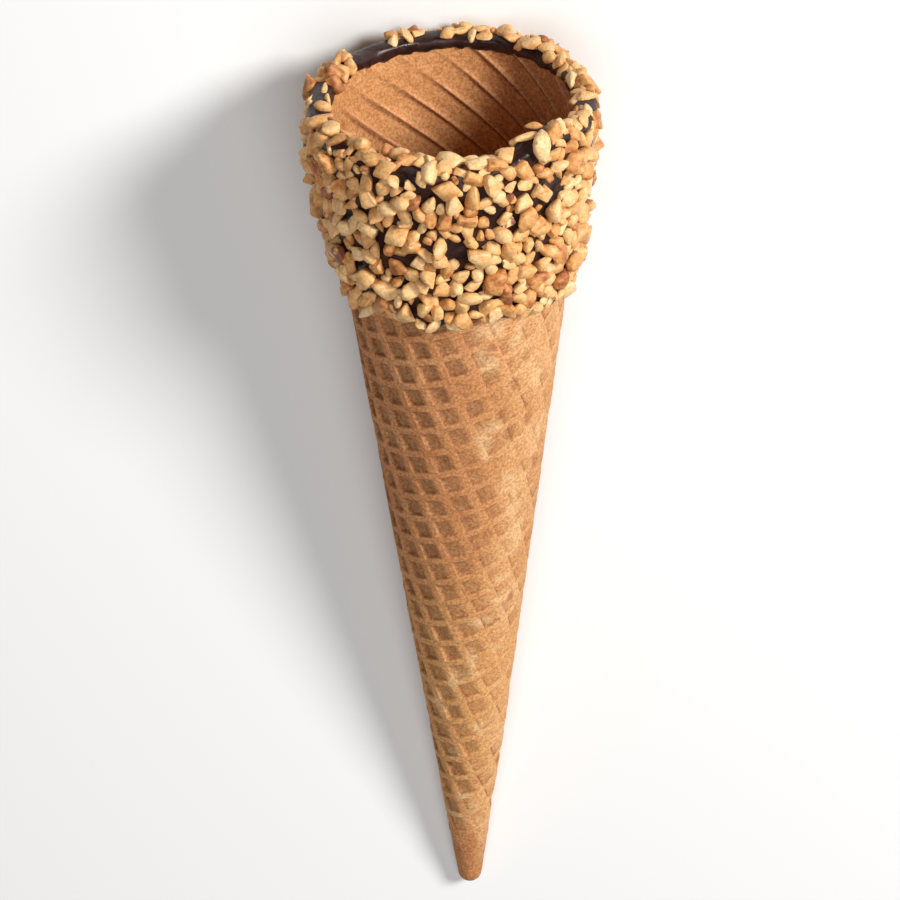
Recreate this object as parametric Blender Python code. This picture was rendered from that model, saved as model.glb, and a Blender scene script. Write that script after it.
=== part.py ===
"""Rolled waffle cone with a dipped chocolate rim and chopped nuts, lying on its side.

Metres, +Z up. The cone lies along Y with its mouth towards -Y. It rests on the lowest nuts of
its collar and on its tip, and the side that faces up is the one with turn 0.

A place on the cone is given by three values: along, the distance from the cone's sharp apex
measured on its axis; turn, the angle round the axis from the top line; and radius.
"""

import math
import random

import bmesh
import bpy
from mathutils import Matrix, Vector
from mathutils.geometry import delaunay_2d_cdt

FULL_TURN = 2.0 * math.pi

# The rolled wafer
HALF_ANGLE = math.radians(7.0)
RIM_RADIUS = 0.0220
WALL = 0.0020
RIM_SLANT = 0.0012
RIM_ROUND = 0.0005
TIP_BALL_AT = 0.01875
HOLLOW_FROM = 0.0270
HOLLOW_END = ((0.0280, 0.0012), (0.0273, 0.0008))
RIM_AT = RIM_RADIUS / math.tan(HALF_ANGLE)
TIP_BALL = TIP_BALL_AT * math.sin(HALF_ANGLE)

# The waffle pattern, pressed into the flat sheet before it is rolled
PITCH = 0.00463
PATTERN_TURN = math.radians(-19.1)
PATTERN_START = (0.14871, -0.00037)
PATTERN_FROM = 0.0240
PATTERN_TO = 0.1530
PATTERN_MARGIN = 0.17 * PITCH
CELL_SHARE = 0.62
CELL_DEPTH = 0.00075
CELLS_FADE_FROM = 0.0220
CELLS_FADE_OVER = 0.0300
SHALLOW_SHARE = 0.5
SHALLOW_DEGREES = (5.0, 40.0, 82.0, 112.0)
NARROW_TO = 0.0750

# The sheet's outer edge, which laps over the turn below
SEAM_TURN = math.radians(118.0)
SEAM_RAMP = math.radians(70.0)
SEAM_LIP = 0.0006
SEAM_FROM = 0.0300
SEAM_TO = 0.1480
SEAM_STEP = 0.0018
SEAM_STEP_GROWTH = 0.02

# The dipped chocolate coat
GAP = 0.0003
COAT = 0.0009
COAT_FROM = 0.1492
COAT_WAVE = 0.0007
LIP_HEIGHT = 0.0010
INSIDE_REACH = 0.0011

# The chopped nuts: marked ones are step up the coat, turn in degrees, length and width
NUT_COUNT = 220
NUT_SEED = 11
NUT_LONGEST = 0.0050
NUT_SHORTEST = 0.0030
NUT_SPACING = 0.72
NUT_SUNK = 0.0005
NUT_TILT = math.radians(6.0)
RIM_BEND = 0.0036
RESTING_NUTS = (
    (0.0246, 171.5, 0.0048, 0.0040),
    (0.0246, 188.5, 0.0048, 0.0040),
)
STANDOUT_NUTS = (
    (0.0275, 45.0, 0.0052, 0.0034),
    (0.0300, -38.0, 0.0042, 0.0034),
    (0.0305, 13.0, 0.0038, 0.0028),
)

# How the cone lies: the floor touches the collar at this radius, and the tip's ball
REST_RADIUS = 0.0240
REST_AT = 0.1740
TIP_FLAT = 0.00020
APEX_Y = 0.1002

SEGMENTS = 48
TIP_SEGMENTS = 24

WAFER_COLOR = (0.60, 0.32, 0.14)
NUT_COLOR = (0.66, 0.43, 0.20)


def lying_matrix():
    """Carries the upright cone, apex at the origin and axis up, to where it lies."""
    length = REST_AT - TIP_BALL_AT
    tip_height = TIP_BALL - TIP_FLAT
    reach = math.hypot(length, REST_RADIUS)
    slope = math.atan2(REST_RADIUS, length) - math.asin(tip_height / reach)
    axis = Vector((0.0, -math.cos(slope), math.sin(slope)))
    top = Vector((0.0, math.sin(slope), math.cos(slope)))
    side = Vector((-1.0, 0.0, 0.0))
    turned = Matrix((side, -top, axis)).transposed().to_4x4()
    apex_height = tip_height - TIP_BALL_AT * math.sin(slope)
    return Matrix.Translation((0.0, APEX_Y, apex_height)) @ turned


LYING = lying_matrix()


def smooth(value):
    value = min(max(value, 0.0), 1.0)
    return value * value * (3.0 - 2.0 * value)


def wafer_radius(along):
    return along * math.tan(HALF_ANGLE)


def rim_along(turn):
    """The rim is a little higher at the back than at the shown front."""
    return RIM_AT - RIM_SLANT * math.cos(turn)


def place(along, turn, radius):
    return LYING @ Vector((radius * math.sin(turn), -radius * math.cos(turn), along))


def turns_round(count, start=0.0):
    return [start + FULL_TURN * k / count for k in range(count)]


# Mesh helpers


def add_material(name, color, roughness):
    made = bpy.data.materials.new(name)
    made.use_nodes = True
    shader = made.node_tree.nodes["Principled BSDF"]
    shader.inputs["Base Color"].default_value = (*color, 1.0)
    shader.inputs["Roughness"].default_value = roughness
    made.diffuse_color = (*color, 1.0)
    return made


def add_object(name, bm, surface):
    mesh = bpy.data.meshes.new(name)
    bm.to_mesh(mesh)
    bm.free()
    mesh.materials.append(surface)
    made = bpy.data.objects.new(name, mesh)
    bpy.context.scene.collection.objects.link(made)
    return made


def remove_object(made):
    mesh = made.data
    bpy.data.objects.remove(made)
    bpy.data.meshes.remove(mesh)


def add_ring(bm, turns, along_of, radius_of):
    return [bm.verts.new(place(along_of(t), t, radius_of(t))) for t in turns]


def add_level_ring(bm, turns, along, radius):
    return add_ring(bm, turns, lambda t: along, lambda t: radius)


def join_rings(bm, first, second):
    count = len(first)
    for k in range(count):
        after = (k + 1) % count
        bm.faces.new((first[k], first[after], second[after], second[k]))


def join_fine_to_coarse(bm, fine, coarse):
    """Joins a ring to one with half as many points."""
    for k, corner in enumerate(coarse):
        after = coarse[(k + 1) % len(coarse)]
        first, middle, last = fine[2 * k], fine[2 * k + 1], fine[(2 * k + 2) % len(fine)]
        bm.faces.new((first, middle, corner))
        bm.faces.new((middle, last, after, corner))


def close_ring(bm, ring, along):
    pole = bm.verts.new(place(along, 0.0, 0.0))
    for k in range(len(ring)):
        bm.faces.new((ring[k], ring[(k + 1) % len(ring)], pole))


def close_up(bm, distance):
    """Merges points that fall together and turns all faces into outward triangles."""
    bmesh.ops.remove_doubles(bm, verts=bm.verts, dist=distance)
    bmesh.ops.triangulate(bm, faces=bm.faces)
    bmesh.ops.recalc_face_normals(bm, faces=bm.faces)


# The sheet laid out flat: a place on it is a slant, the distance from the apex, and a turn


def flat_xy(slant, turn):
    spread = turn * math.sin(HALF_ANGLE)
    return Vector((slant * math.cos(spread), slant * math.sin(spread)))


def flat_place(point):
    return point.length, math.atan2(point.y, point.x) / math.sin(HALF_ANGLE)


def pattern_point(i, j):
    across, up = math.cos(PATTERN_TURN), math.sin(PATTERN_TURN)
    x = PATTERN_START[0] + PITCH * (i * across - j * up)
    y = PATTERN_START[1] + PITCH * (i * up + j * across)
    return Vector((x, y))


def cell_depth(along, turn):
    """Cells fade out towards the tip, and are shallow on the right of the shown side."""
    tip_fade = smooth((along - CELLS_FADE_FROM) / CELLS_FADE_OVER)
    start, full, ease, end = SHALLOW_DEGREES
    degrees = math.degrees(turn)
    shallow = smooth((degrees - start) / (full - start)) * smooth((end - degrees) / (end - ease))
    return CELL_DEPTH * tip_fade * (1.0 - SHALLOW_SHARE * shallow)


def seam_lift(along, turn):
    """How far the lapping edge stands proud, growing over the last part of the turn."""
    tip_end = smooth((along - SEAM_FROM) / 0.020)
    rim_end = smooth((SEAM_TO - along) / 0.008)
    return SEAM_LIP * tip_end * rim_end * smooth((turn - SEAM_TURN + SEAM_RAMP) / SEAM_RAMP)


class Sheet:
    """Collects the flat sheet's points and the lines that its triangles have to keep."""

    def __init__(self):
        self.points = []
        self.places = []
        self.lines = []
        self.low = PATTERN_FROM / math.cos(HALF_ANGLE)
        self.high = PATTERN_TO / math.cos(HALF_ANGLE)

    def add(self, slant, turn, drop=0.0):
        self.points.append(flat_xy(slant, turn))
        self.places.append((slant, turn, drop))
        return len(self.points) - 1

    def add_at(self, point, dropped=False):
        slant, turn = flat_place(point)
        depth = cell_depth(slant * math.cos(HALF_ANGLE), turn) if dropped else 0.0
        return self.add(slant, turn, depth)

    def holds(self, point):
        slant, turn = flat_place(point)
        to_lip = slant * math.sin((SEAM_TURN - turn) * math.sin(HALF_ANGLE))
        to_base = slant * math.sin((turn - SEAM_TURN + FULL_TURN) * math.sin(HALF_ANGLE))
        inside = self.low + PATTERN_MARGIN < slant < self.high - PATTERN_MARGIN
        return inside and min(to_lip, to_base) > PATTERN_MARGIN

    def line(self, chain, closed=False):
        ends = chain[1:] + chain[:1] if closed else chain[1:]
        self.lines.extend(zip(chain, ends))


def lay_out_sheet():
    """The flat sheet, and its edges: under the lap, on the lap, and at the tip."""
    sheet = Sheet()
    base_turn = SEAM_TURN - FULL_TURN
    slants = [sheet.low]
    while slants[-1] < sheet.high - PITCH:
        slants.append(slants[-1] * (1.0 + SEAM_STEP_GROWTH) + SEAM_STEP)
    slants[-1] = sheet.high
    base_edge = [sheet.add(slant, base_turn) for slant in slants]
    rim_edge = [sheet.add(sheet.high, turn) for turn in turns_round(SEGMENTS, base_turn)[1:]]
    lip_edge = [sheet.add(slant, SEAM_TURN) for slant in slants]
    tip_edge = [sheet.add(sheet.low, turn) for turn in turns_round(TIP_SEGMENTS, base_turn)[1:]]
    sheet.line(base_edge + rim_edge + lip_edge[::-1] + tip_edge[::-1], closed=True)
    tip_edge += [base_edge[0], lip_edge[0]]
    add_pattern(sheet)
    return sheet, base_edge, lip_edge, tip_edge


def add_pattern(sheet):
    """Crest lines between the waffle's cells, and a sunk square floor in each whole cell."""
    count = math.ceil(sheet.high / PITCH)
    steps = range(-count, count + 1)
    crests = {}
    for i in steps:
        for j in steps:
            point = pattern_point(i, j)
            if sheet.holds(point):
                crests[i, j] = sheet.add_at(point)
    for (i, j), start in crests.items():
        for ahead, aside in ((1, 0), (0, 1)):
            end = crests.get((i + ahead, j + aside))
            if end is None:
                continue
            chain = [start, end]
            middle = pattern_point(i + ahead / 2, j + aside / 2)
            if middle.length < NARROW_TO:
                chain.insert(1, sheet.add_at(middle))
            sheet.line(chain)
        corners = [(i, j), (i + 1, j), (i + 1, j + 1), (i, j + 1)]
        if all(corner in crests for corner in corners):
            add_cell_floor(sheet, i, j)


def add_cell_floor(sheet, i, j):
    low = 0.5 - CELL_SHARE / 2
    high = 0.5 + CELL_SHARE / 2
    floor = [sheet.add_at(pattern_point(i + a, j + b), True)
             for a, b in ((low, low), (high, low), (high, high), (low, high))]
    sheet.line(floor, closed=True)
    centre = pattern_point(i + 0.5, j + 0.5)
    if centre.length < NARROW_TO:
        sheet.add_at(centre, True)


def roll_sheet(bm):
    """Cuts the flat sheet into triangles and rolls it round the cone."""
    sheet, base_edge, lip_edge, tip_edge = lay_out_sheet()
    cut = delaunay_2d_cdt(sheet.points, sheet.lines, [], 0, 1e-7, True)
    triangles, origins = cut[2], cut[3]
    edges = [set(base_edge), set(lip_edge), set(tip_edge)]
    rolled = {}
    corners = []
    for source in origins:
        slant, turn, drop = sheet.places[source[0]]
        along = slant * math.cos(HALF_ANGLE)
        radius = wafer_radius(along) + seam_lift(along, turn) - drop
        corners.append(bm.verts.new(place(along, turn, radius)))
        for index in source:
            rolled[index] = corners[-1]
    for triangle in triangles:
        ends = {origins[k][0] for k in triangle}
        outside = any(ends <= edge for edge in edges)
        if not outside:
            bm.faces.new([corners[k] for k in triangle])
    for k in range(len(base_edge) - 1):
        wall = (base_edge[k], base_edge[k + 1], lip_edge[k + 1], lip_edge[k])
        bm.faces.new([rolled[index] for index in wall])


def add_mouth_and_hollow(bm):
    """The plain outside under the coat, the rounded rim, and the inner wall down to its end."""
    turns = turns_round(SEGMENTS, SEAM_TURN)
    middle = RIM_RADIUS - WALL / 2
    flat = WALL / 2 - RIM_ROUND
    profile = ((-RIM_ROUND, RIM_RADIUS), (0.0, middle + flat), (0.0, middle - flat),
               (-RIM_ROUND, RIM_RADIUS - WALL))
    rings = [add_level_ring(bm, turns, PATTERN_TO, wafer_radius(PATTERN_TO))]
    for step, radius in profile:
        rings.append(add_ring(bm, turns, lambda t: rim_along(t) + step,
                              lambda t: radius + wafer_radius(rim_along(t) + step - RIM_AT)))
    for first, second in zip(rings, rings[1:]):
        join_rings(bm, first, second)
    ends = [add_level_ring(bm, turns[::2], along, radius) for along, radius in HOLLOW_END]
    join_fine_to_coarse(bm, rings[-1], ends[0])
    join_rings(bm, ends[0], ends[1])
    close_ring(bm, ends[1], HOLLOW_FROM)


def add_tip(bm):
    """The rounded tip: part of a ball that meets the cone smoothly."""
    turns = turns_round(TIP_SEGMENTS, SEAM_TURN)
    rings = [add_level_ring(bm, turns, PATTERN_FROM, wafer_radius(PATTERN_FROM))]
    for degrees in (0.0, 32.0, 62.0):
        angle = math.radians(degrees)
        along = TIP_BALL_AT - TIP_BALL * math.sin(angle)
        rings.append(add_level_ring(bm, turns, along, TIP_BALL * math.cos(angle)))
    for first, second in zip(rings, rings[1:]):
        join_rings(bm, first, second)
    close_ring(bm, rings[-1], TIP_BALL_AT - TIP_BALL)


def make_waffle_cone():
    bm = bmesh.new()
    roll_sheet(bm)
    add_mouth_and_hollow(bm)
    add_tip(bm)
    close_up(bm, 0.000002)
    for vertex in bm.verts:
        vertex.co.z = max(vertex.co.z, 0.0)
    return add_object("waffle_cone", bm, add_material("baked_wafer", WAFER_COLOR, 0.75))


# The chocolate coat and its nuts


def coat_edge(turn):
    """How far up the cone the coat starts: dipping leaves a wavy edge."""
    wave = math.sin(3.0 * turn + 0.6) + 0.6 * math.sin(7.0 * turn + 2.0)
    return COAT_FROM + COAT_WAVE * wave


def make_coat():
    """A shell with its outside, its rounded lip and its inside against the wafer."""
    bm = bmesh.new()
    turns = turns_round(SEGMENTS)
    inner = RIM_RADIUS - WALL - GAP

    def from_edge(step, thickness):
        return add_ring(bm, turns, lambda t: coat_edge(t) + step,
                        lambda t: wafer_radius(coat_edge(t) + step) + thickness)

    def from_rim(step, radius):
        return add_ring(bm, turns, lambda t: rim_along(t) + step,
                        lambda t: radius + wafer_radius(rim_along(t) - RIM_AT))

    rings = [
        from_edge(0.0, GAP),
        from_edge(0.0001, GAP + 0.6 * COAT),
        from_edge(0.0012, GAP + COAT),
        from_rim(-0.0040, wafer_radius(RIM_AT - 0.0040) + GAP + 1.1 * COAT),
        from_rim(0.0003, RIM_RADIUS + GAP + 0.8 * COAT),
        from_rim(GAP + LIP_HEIGHT, RIM_RADIUS - 0.3 * WALL),
        from_rim(GAP + LIP_HEIGHT, RIM_RADIUS - 0.8 * WALL),
        from_rim(0.0002, inner - 0.6 * COAT),
        from_rim(-INSIDE_REACH, inner - 0.5 * COAT),
        from_rim(-INSIDE_REACH - 0.0003, inner - 0.0002),
        from_rim(GAP, inner),
        from_rim(GAP, RIM_RADIUS + GAP),
    ]
    for first, second in zip(rings, rings[1:] + rings[:1]):
        join_rings(bm, first, second)
    close_up(bm, 0.000002)
    return bm


def coat_surface(step, turn):
    """A point on the coat's outside and the way out of it.

    step runs up the outside from the coat's edge and then over the rim to its inner edge.
    """
    rim = rim_along(turn)
    up = rim - COAT_FROM
    if step < up:
        along = COAT_FROM + step
        radius = wafer_radius(along) + GAP + COAT
        lean = -HALF_ANGLE
    else:
        lean = math.radians(100.0) * (step - up) / RIM_BEND
        half = WALL / 2 + GAP + 0.7 * COAT
        along = rim + 0.75 * half * math.sin(lean)
        radius = wafer_radius(rim) - WALL / 2 + half * math.cos(lean)
    at = place(along, turn, radius)
    out = place(along + math.sin(lean), turn, radius + math.cos(lean)) - at
    return at, out.normalized()


def choose_nuts():
    """Largest nuts first, spread evenly by a seeded rule: place, way out, length and width."""
    draw = random.Random(NUT_SEED)
    chosen = []
    for step, degrees, length, width in RESTING_NUTS + STANDOUT_NUTS:
        chosen.append((*coat_surface(step, math.radians(degrees)), length, width))
    highest = RIM_AT - COAT_FROM + 0.8 * RIM_BEND
    while len(chosen) < NUT_COUNT:
        share = len(chosen) / NUT_COUNT
        length = NUT_LONGEST + (NUT_SHORTEST - NUT_LONGEST) * share ** 0.35
        step = draw.uniform(-0.0004, highest)
        at, out = coat_surface(step, draw.uniform(0.0, FULL_TURN))
        clear = all((there - at).length > NUT_SPACING * (length + other) / 2
                    for there, _, other, _ in chosen)
        if clear:
            chosen.append((at, out, length, length * draw.uniform(0.68, 0.92)))
    return chosen


def make_nut(nut, draw):
    """One chopped nut: sunk foot, belly and smaller crown, as the hull of their corners."""
    at, out, length, width = nut
    side = Matrix.Rotation(draw.uniform(0.0, FULL_TURN), 3, out) @ out.orthogonal().normalized()
    out = Matrix.Rotation(draw.uniform(-NUT_TILT, NUT_TILT), 3, side) @ out
    across = out.cross(side)
    height = width * draw.uniform(0.42, 0.58)
    count = draw.choice((4, 4, 5))
    start = draw.uniform(0.0, FULL_TURN)
    points = []

    def add_corner(around, spread, rise):
        flat = side * length * math.cos(around) + across * width * math.sin(around)
        points.append(at + flat * spread / 2.0 + out * rise)

    for turn in turns_round(count, start):
        around = turn + draw.uniform(-0.25, 0.25)
        spread = draw.uniform(0.95, 1.15)
        add_corner(around, 0.9 * spread, -NUT_SUNK)
        add_corner(around, spread, 0.4 * height)
    for turn in turns_round(3, start):
        around = turn + draw.uniform(-0.3, 0.3)
        add_corner(around, draw.uniform(0.4, 0.8), height * draw.uniform(0.85, 1.1))
    bm = bmesh.new()
    hull = bmesh.ops.convex_hull(bm, input=[bm.verts.new(point) for point in points])
    spare = [item for item in hull["geom_interior"] if isinstance(item, bmesh.types.BMVert)]
    bmesh.ops.delete(bm, geom=spare, context="VERTS")
    bmesh.ops.dissolve_limit(bm, angle_limit=0.02, verts=bm.verts, edges=bm.edges)
    bmesh.ops.recalc_face_normals(bm, faces=bm.faces)
    return bm


def make_nuts(holder):
    draw = random.Random(NUT_SEED + 1)
    for nut in choose_nuts():
        bm = make_nut(nut, draw)
        mesh = bpy.data.meshes.new("nut")
        bm.to_mesh(mesh)
        bm.free()
        holder.objects.link(bpy.data.objects.new("nut", mesh))


def apply_boolean(made, boolean):
    boolean.solver = "MANIFOLD"
    bpy.context.view_layer.objects.active = made
    bpy.ops.object.modifier_apply(modifier=boolean.name)


def join_nuts(coat):
    holder = bpy.data.collections.new("nuts")
    bpy.context.scene.collection.children.link(holder)
    make_nuts(holder)
    union = coat.modifiers.new("nuts", "BOOLEAN")
    union.operation = "UNION"
    union.operand_type = "COLLECTION"
    union.collection = holder
    apply_boolean(coat, union)
    for nut in list(holder.objects):
        remove_object(nut)
    bpy.data.collections.remove(holder)


def cut_at_floor(collar):
    """Takes off what would be under the floor, so that the lowest nuts rest flat on it."""
    bpy.ops.mesh.primitive_cube_add(size=0.1, location=(0.0, -0.07, -0.05))
    floor = bpy.context.object
    cut = collar.modifiers.new("floor", "BOOLEAN")
    cut.operation = "DIFFERENCE"
    cut.object = floor
    apply_boolean(collar, cut)
    remove_object(floor)


def keep_outer_shell(mesh):
    """Drops loose scraps, and fills hollows that the joining has sealed."""
    bm = bmesh.new()
    bm.from_mesh(mesh)
    bmesh.ops.remove_doubles(bm, verts=bm.verts, dist=0.000002)
    bmesh.ops.dissolve_degenerate(bm, edges=bm.edges, dist=0.000001)
    bmesh.ops.triangulate(bm, faces=bm.faces)
    unseen = set(bm.verts)
    shells = []
    while unseen:
        front = [unseen.pop()]
        shell = []
        while front:
            vertex = front.pop()
            shell.append(vertex)
            for edge in vertex.link_edges:
                other = edge.other_vert(vertex)
                if other in unseen:
                    unseen.remove(other)
                    front.append(other)
        shells.append(shell)
    shells.sort(key=len)
    for shell in shells[:-1]:
        bmesh.ops.delete(bm, geom=shell, context="VERTS")
    bm.to_mesh(mesh)
    bm.free()


def make_nut_collar():
    collar = add_object("nut_collar", make_coat(), add_material("nut_coating", NUT_COLOR, 0.55))
    join_nuts(collar)
    cut_at_floor(collar)
    keep_outer_shell(collar.data)
    return collar


def main():
    for item in list(bpy.data.objects):
        bpy.data.objects.remove(item)
    make_waffle_cone()
    make_nut_collar()


main()
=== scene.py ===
# %% [markdown]
# # An empty waffle cone with a chocolate rim and chopped nuts
# The real thing is a flat waffle, baked between two patterned irons, rolled up while it is
# hot, dipped rim first in dark chocolate and then turned in chopped roasted nuts.
# This lesson makes it the same way round: sheet, roll, dip, sprinkle.
# The first cell loads the solid model that everything is built around. It stays as it is.

# %% The solid model
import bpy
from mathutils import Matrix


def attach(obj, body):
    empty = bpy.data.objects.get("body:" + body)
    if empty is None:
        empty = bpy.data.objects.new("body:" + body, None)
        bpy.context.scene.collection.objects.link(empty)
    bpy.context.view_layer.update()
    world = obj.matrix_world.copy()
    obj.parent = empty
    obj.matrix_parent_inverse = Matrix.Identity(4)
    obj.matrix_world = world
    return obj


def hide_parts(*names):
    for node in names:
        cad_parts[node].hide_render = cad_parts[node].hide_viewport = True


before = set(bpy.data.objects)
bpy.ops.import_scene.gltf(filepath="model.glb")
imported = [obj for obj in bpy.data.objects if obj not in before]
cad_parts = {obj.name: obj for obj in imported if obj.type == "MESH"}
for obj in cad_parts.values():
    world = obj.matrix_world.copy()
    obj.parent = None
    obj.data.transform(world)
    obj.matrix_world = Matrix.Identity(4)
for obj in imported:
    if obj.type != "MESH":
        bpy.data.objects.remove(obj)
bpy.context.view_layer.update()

# %% [markdown]
# Every size below is in metres. The cone is easiest to describe standing on its tip: its
# sharp apex is the origin, its axis is Z, and a place on it is a distance **along** the axis
# and a **turn** round it. Turn 0 is the side that ends up on top when the cone lies down.
# These are the sizes of the solid model, so what is made here lands where the solids are.

# %% Sizes of the cone
import math
import random

import bmesh
import bpy
import numpy as np
from mathutils import Matrix, Vector, noise

HALF_ANGLE = math.radians(7.0)
RIM_RADIUS = 0.0220
RIM_AT = RIM_RADIUS / math.tan(HALF_ANGLE)
RIM_SLANT = 0.0012
WALL = 0.0020
TIP_BALL_AT = 0.01875
TIP_BALL = TIP_BALL_AT * math.sin(HALF_ANGLE)
FULL_TURN = 2.0 * math.pi


def smooth(value):
    value = np.clip(value, 0.0, 1.0)
    return value * value * (3.0 - 2.0 * value)


def wafer_radius(along):
    return along * math.tan(HALF_ANGLE)


def rim_along(turn):
    return RIM_AT - RIM_SLANT * math.cos(turn)


print(f"rim {2 * RIM_RADIUS * 1000:.0f} mm across, {RIM_AT * 1000:.1f} mm from the apex")

# %% [markdown]
# A cone put down on a table rests on its tip and on the nuts of its rim. One matrix carries
# the standing cone to that place, and every piece is laid down with it when it is finished.
# It could be turned by hand, but a matrix from the two resting points lands exactly.

# %% How the cone lies
REST_RADIUS = 0.0240
REST_AT = 0.1740
TIP_FLAT = 0.00020
APEX_Y = 0.1002


def lying_matrix():
    length = REST_AT - TIP_BALL_AT
    tip_height = TIP_BALL - TIP_FLAT
    reach = math.hypot(length, REST_RADIUS)
    slope = math.atan2(REST_RADIUS, length) - math.asin(tip_height / reach)
    axis = Vector((0.0, -math.cos(slope), math.sin(slope)))
    top = Vector((0.0, math.sin(slope), math.cos(slope)))
    side = Vector((-1.0, 0.0, 0.0))
    turned = Matrix((side, -top, axis)).transposed().to_4x4()
    apex_height = tip_height - TIP_BALL_AT * math.sin(slope)
    return Matrix.Translation((0.0, APEX_Y, apex_height)) @ turned


LYING = lying_matrix()
print("the axis rises", round(math.degrees(math.asin(LYING[2][2])), 2), "degrees")

# %% [markdown]
# Four small helpers are used all through. One picks a single piece to work on, because an
# operator acts on everything that is selected. Two read and write a mesh's points all at
# once. The last lays a standing piece down and leaves its place in its mesh.

# %% Helpers for working on one piece


def work_on(piece):
    if bpy.context.mode != "OBJECT":
        bpy.ops.object.mode_set(mode="OBJECT")
    bpy.ops.object.select_all(action="DESELECT")
    piece.select_set(True)
    bpy.context.view_layer.objects.active = piece


def points_of(piece):
    spots = np.empty(len(piece.data.vertices) * 3)
    piece.data.vertices.foreach_get("co", spots)
    return spots.reshape(-1, 3)


def set_points(piece, spots):
    piece.data.vertices.foreach_set("co", np.asarray(spots, float).ravel())
    piece.data.update()


def lay_down(piece):
    work_on(piece)
    piece.matrix_world = LYING
    bpy.ops.object.transform_apply(location=True, rotation=True, scale=True)
    spots = points_of(piece)
    spots[:, 2] = np.maximum(spots[:, 2], 0.0)
    set_points(piece, spots)


# %% [markdown]
# The camera looks down on the lying cone and a little into its mouth, with a long lens, as
# a product photograph is taken. Its place is worked out from how steeply it looks into the
# mouth and from where the sharp apex of the cone would fall in a frame of 900 by 900.

# %% The camera
VIEW_RISE = math.radians(33.62)
VIEW_ROLL = math.radians(-1.45)
VIEW_DISTANCE = 3.3 * RIM_AT
FRAME_SIZE = 900.0
FOCAL_SHARE = 3.4431
APEX_IN_FRAME = (471.58, 943.34)
SENSOR = 36.0


def place_camera():
    back = Vector((0.0, -math.cos(VIEW_RISE), math.sin(VIEW_RISE)))
    level = Vector((1.0, 0.0, 0.0))
    upright = back.cross(level)
    right = level * math.cos(VIEW_ROLL) + upright * math.sin(VIEW_ROLL)
    up = upright * math.cos(VIEW_ROLL) - level * math.sin(VIEW_ROLL)
    per_pixel = VIEW_DISTANCE / (FOCAL_SHARE * FRAME_SIZE)
    aside = (APEX_IN_FRAME[0] - FRAME_SIZE / 2) * per_pixel
    above = (FRAME_SIZE / 2 - APEX_IN_FRAME[1]) * per_pixel
    eye = back * VIEW_DISTANCE - right * aside - up * above
    seen_from = Matrix((right, up, back)).transposed().to_4x4()
    seen_from.translation = eye
    lens = bpy.data.cameras.new("camera")
    lens.sensor_width = SENSOR
    lens.lens = FOCAL_SHARE * SENSOR
    camera = bpy.data.objects.new("camera", lens)
    bpy.context.scene.collection.objects.link(camera)
    camera.matrix_world = LYING @ seen_from
    return camera


camera = place_camera()
bpy.context.scene.camera = camera
print("camera at", tuple(round(v, 3) for v in camera.location))

# %% [markdown]
# ## The waffle sheet
# The waffle is baked flat. Its pattern is a square lattice of raised ridges with sunk cells
# between them, and the lattice stays square only on the flat sheet, so that is where it is
# pressed. A cone opens out into a fan, part of a disc round the apex.
# The sheet starts as a grid with its lines along the ridges. Twelve lines to a cell, crowded
# where the ridge drops to the cell, hold a crisp edge with far fewer faces than an even
# grid, and a displacement picture would need a much finer one. Three walls of a cell are
# steep. The fourth, on the left, is drawn out, as the iron was lifted off that way.

# %% The lattice
PITCH = 0.00463
PATTERN_TURN = math.radians(-19.1)
PATTERN_START = (0.14871, -0.00037)
SEAM_TURN = math.radians(118.0)
LINES = np.array([0.0, 0.08, 0.12, 0.15, 0.19, 0.26, 0.50, 0.74, 0.81, 0.85, 0.88, 0.92])
LEANING_LINES = np.array([0.0, 0.08, 0.12, 0.15, 0.19, 0.30, 0.48, 0.60, 0.69, 0.78, 0.87, 0.93])
RIDGE_TOP = 0.12
RIDGE_FOOT = 0.19
SLOPE_FOOT = 0.42


def flat_point(slant, turn):
    spread = turn * math.sin(HALF_ANGLE)
    return slant * np.cos(spread), slant * np.sin(spread)


def to_lattice(x, y, start, lattice_turn, pitch):
    across, up = math.cos(lattice_turn), math.sin(lattice_turn)
    east, north = x - start[0], y - start[1]
    return (east * across + north * up) / pitch, (north * across - east * up) / pitch


def from_lattice(i, j, start, lattice_turn, pitch):
    across, up = math.cos(lattice_turn), math.sin(lattice_turn)
    return start[0] + pitch * (i * across - j * up), start[1] + pitch * (i * up + j * across)


def cells_needed(lattice, first_turn, low, high):
    """The range of cells that covers the fan, as the lowest i, j and the counts."""
    turns = np.linspace(first_turn, first_turn + FULL_TURN, 60)
    i, j = to_lattice(*flat_point(np.array([[low], [high]]), turns), *lattice)
    lowest = math.floor(i.min()), math.floor(j.min())
    return *lowest, math.ceil(i.max()) - lowest[0], math.ceil(j.max()) - lowest[1]


print("lattice pitch", PITCH * 1000, "mm,", len(LINES), "lines to a cell")

# %% [markdown]
# The fan is cut out of the grid with two straight cuts from the apex. Rolling is then done
# point by point: the distance from the apex stays, and the angle in the fan opens up into
# the turn round the cone. A Simple Deform bend could only make a tube of the sheet.

# %% Lay, cut and roll a sheet


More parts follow.
